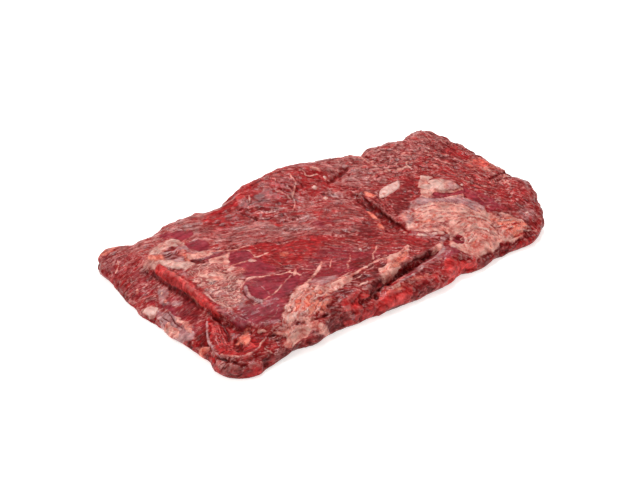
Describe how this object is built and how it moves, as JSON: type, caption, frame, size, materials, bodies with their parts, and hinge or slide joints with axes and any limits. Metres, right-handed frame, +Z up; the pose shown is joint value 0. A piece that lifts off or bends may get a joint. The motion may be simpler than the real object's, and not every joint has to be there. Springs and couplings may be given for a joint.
{
  "type": "raw sirloin flap",
  "caption": "Whole raw beef flap steak: a long flat slab of coarse-grained muscle in two leaves, with fat and silverskin on top, lying flat.",
  "frame": {"origin": "on the surface it lies on, under the middle of its bounding box", "axes": "+X along the slab, +Y across it away from the side with the open cut, +Z up"},
  "size_m": [0.3444, 0.189, 0.0342],
  "materials": {
    "raw_beef": "moist, soft, red muscle with purple silverskin",
    "fat": "moist, waxy, pale pink fat and connective tissue"
  },
  "bodies": {
    "root": {"sirloin_flap": "raw_beef"}
  },
  "joints": []
}
